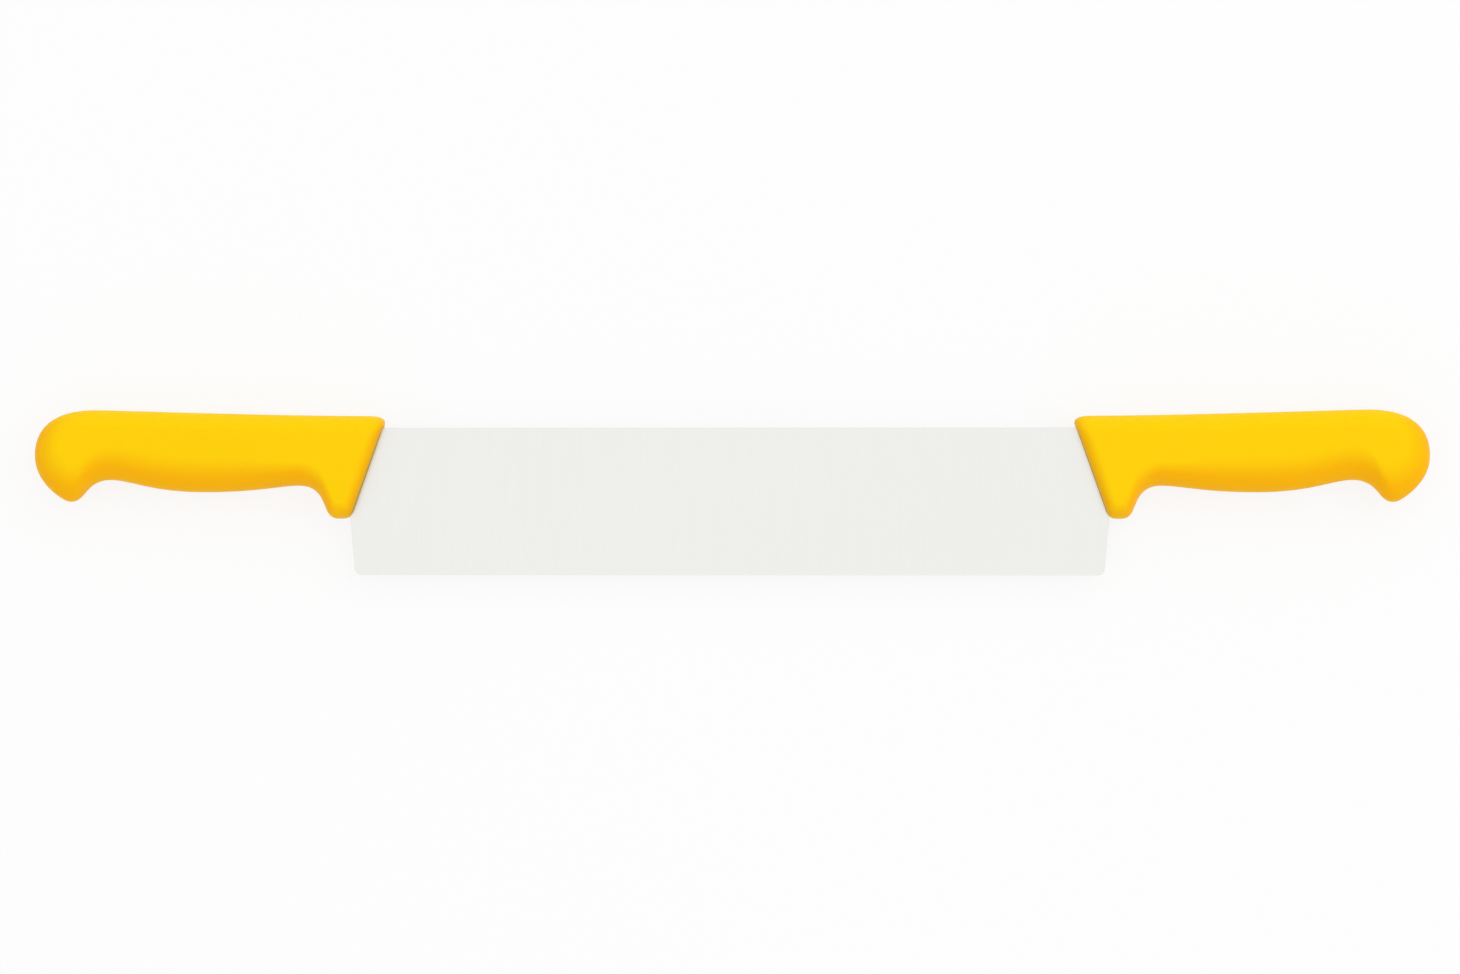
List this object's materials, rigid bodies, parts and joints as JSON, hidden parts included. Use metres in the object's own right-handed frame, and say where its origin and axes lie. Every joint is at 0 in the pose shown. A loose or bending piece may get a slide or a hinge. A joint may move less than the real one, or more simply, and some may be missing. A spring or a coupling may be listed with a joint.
{
  "type": "double-handled cheese knife",
  "caption": "Long straight steel cheese blade with a moulded plastic handle at each end, each with a finger guard and a hooked pommel, pushed down through a wheel of cheese with both hands.",
  "frame": {"origin": "under the middle of the knife's box, at the level of the surface that the handles' flat sides lie on", "axes": "+X along the edge, +Y from the edge to the spine, +Z across the blade, up from the surface it lies on"},
  "size_m": [0.5588, 0.0662, 0.021],
  "materials": {
    "blade_steel": "fine satin grind, with a brighter sharpened bevel",
    "handle_plastic": "satin moulded polypropylene, yellow"
  },
  "bodies": {
    "root": {"blade": "blade_steel", "handle_left": "handle_plastic", "handle_right": "handle_plastic"}
  },
  "joints": []
}
